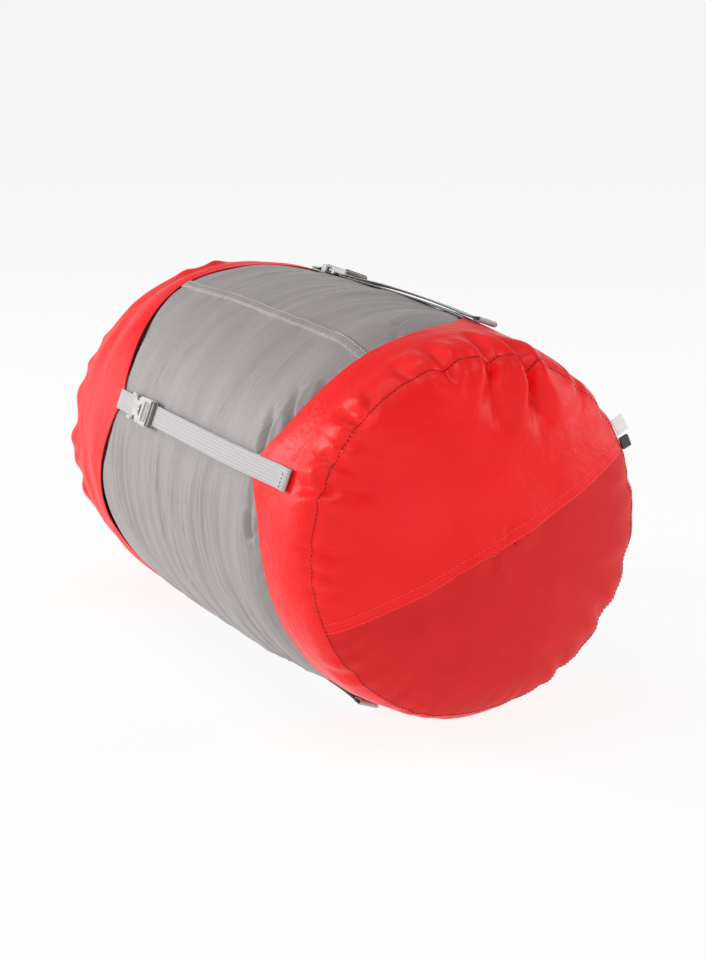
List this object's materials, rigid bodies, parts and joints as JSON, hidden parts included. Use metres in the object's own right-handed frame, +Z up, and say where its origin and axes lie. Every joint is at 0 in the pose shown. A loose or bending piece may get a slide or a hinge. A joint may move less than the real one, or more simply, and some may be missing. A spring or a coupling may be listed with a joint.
{
  "type": "packed sleeping bag",
  "caption": "Rectangular sleeping bag rolled in a cylindrical compression sack with a pull-off lid, webbing straps and side-release buckles.",
  "frame": {"origin": "centre of the footprint, on the floor the sack lies on", "axes": "+X along the sack from the pull-off lid to the sewn base, +Z up"},
  "size_m": [0.4735, 0.2766, 0.268],
  "materials": {
    "red_coated_nylon": "coated woven nylon, low sheen with bright highlights",
    "red_plain_nylon": "matte woven nylon",
    "grey_ripstop": "fine ripstop nylon",
    "webbing": "ribbed polypropylene webbing",
    "buckle_plastic": "moulded acetal, satin",
    "label_tape": "plain woven satin tape",
    "quilt_cloth": "soft microfibre",
    "quilt_lining": "soft brushed lining",
    "quilt_fill": "hollow-fibre wadding",
    "zip": "moulded coil zip"
  },
  "bodies": {
    "sack": {"tube_shell": "grey_ripstop", "tube_base_disc": "grey_ripstop", "base_band": "red_coated_nylon", "base_lower_panel": "red_plain_nylon", "base_upper_panel": "red_coated_nylon", "seam_tab": "webbing", "blank_label": "label_tape", "quilt_shell": "quilt_cloth", "quilt_fill": "quilt_fill", "quilt_lining": "quilt_lining", "zip_chain": "zip", "zip_slider": "zip", "load_strap_front": "webbing", "load_strap_top": "webbing", "load_strap_back": "webbing", "load_strap_under": "webbing"},
    "lid": {"lid_band": "red_coated_nylon", "lid_end_disc": "red_coated_nylon", "lid_webbing_front": "webbing", "buckle_socket_front": "buckle_plastic", "lid_webbing_top": "webbing", "buckle_socket_top": "buckle_plastic", "lid_webbing_back": "webbing", "buckle_socket_back": "buckle_plastic", "lid_webbing_under": "webbing", "buckle_socket_under": "buckle_plastic"},
    "plug_front": {"buckle_plug_front": "buckle_plastic", "strap_tail_front": "webbing"},
    "arm_front_a": {"latch_arm_front_a": "buckle_plastic"},
    "arm_front_b": {"latch_arm_front_b": "buckle_plastic"},
    "plug_top": {"buckle_plug_top": "buckle_plastic", "strap_tail_top": "webbing"},
    "arm_top_a": {"latch_arm_top_a": "buckle_plastic"},
    "arm_top_b": {"latch_arm_top_b": "buckle_plastic"},
    "plug_back": {"buckle_plug_back": "buckle_plastic", "strap_tail_back": "webbing"},
    "arm_back_a": {"latch_arm_back_a": "buckle_plastic"},
    "arm_back_b": {"latch_arm_back_b": "buckle_plastic"},
    "plug_under": {"buckle_plug_under": "buckle_plastic", "strap_tail_under": "webbing"},
    "arm_under_a": {"latch_arm_under_a": "buckle_plastic"},
    "arm_under_b": {"latch_arm_under_b": "buckle_plastic"}
  },
  "joints": [
    {"name": "lid_pull_off", "type": "slide", "parent": "sack", "child": "lid", "axis": [-1, 0, 0], "range_m": [0, 0.2]},
    {"name": "unclip_front", "type": "slide", "parent": "sack", "child": "plug_front", "axis": [1, 0, 0], "range_m": [0, 0.02], "deforming": ["latch_arm_front_a", "latch_arm_front_b"]},
    {"name": "latch_press_front_a", "type": "hinge", "parent": "plug_front", "child": "arm_front_a", "pos_m": [-0.0446, -0.1295, 0.1835], "axis": [0, -0.9367, 0.3502], "range_deg": [0, 8], "stiffness_Nm_per_rad": 0.05},
    {"name": "latch_press_front_b", "type": "hinge", "parent": "plug_front", "child": "arm_front_b", "pos_m": [-0.0446, -0.13349, 0.17282], "axis": [0, -0.9367, 0.3502], "range_deg": [-8, 0], "stiffness_Nm_per_rad": 0.05},
    {"name": "unclip_top", "type": "slide", "parent": "sack", "child": "plug_top", "axis": [1, 0, 0], "range_m": [0, 0.02], "deforming": ["latch_arm_top_a", "latch_arm_top_b"]},
    {"name": "latch_press_top_a", "type": "hinge", "parent": "plug_top", "child": "arm_top_a", "pos_m": [-0.0826, 0.05451, 0.25851], "axis": [0, 0.3502, 0.9367], "range_deg": [0, 8], "stiffness_Nm_per_rad": 0.05},
    {"name": "latch_press_top_b", "type": "hinge", "parent": "plug_top", "child": "arm_top_b", "pos_m": [-0.0826, 0.04383, 0.2625], "axis": [0, 0.3502, 0.9367], "range_deg": [-8, 0], "stiffness_Nm_per_rad": 0.05},
    {"name": "unclip_back", "type": "slide", "parent": "sack", "child": "plug_back", "axis": [1, 0, 0], "range_m": [0, 0.02], "deforming": ["latch_arm_back_a", "latch_arm_back_b"]},
    {"name": "latch_press_back_a", "type": "hinge", "parent": "plug_back", "child": "arm_back_a", "pos_m": [-0.0566, 0.12951, 0.07449], "axis": [0, 0.9367, -0.3502], "range_deg": [0, 8], "stiffness_Nm_per_rad": 0.05},
    {"name": "latch_press_back_b", "type": "hinge", "parent": "plug_back", "child": "arm_back_b", "pos_m": [-0.0566, 0.1335, 0.08517], "axis": [0, 0.9367, -0.3502], "range_deg": [-8, 0], "stiffness_Nm_per_rad": 0.05},
    {"name": "unclip_under", "type": "slide", "parent": "sack", "child": "plug_under", "axis": [1, 0, 0], "range_m": [0, 0.02], "deforming": ["latch_arm_under_a", "latch_arm_under_b"]},
    {"name": "latch_press_under_a", "type": "hinge", "parent": "plug_under", "child": "arm_under_a", "pos_m": [-0.0446, -0.05048, 0.01026], "axis": [0, -0.3502, -0.9367], "range_deg": [0, 8], "stiffness_Nm_per_rad": 0.05},
    {"name": "latch_press_under_b", "type": "hinge", "parent": "plug_under", "child": "arm_under_b", "pos_m": [-0.0446, -0.0398, 0.00627], "axis": [0, -0.3502, -0.9367], "range_deg": [-8, 0], "stiffness_Nm_per_rad": 0.05}
  ]
}
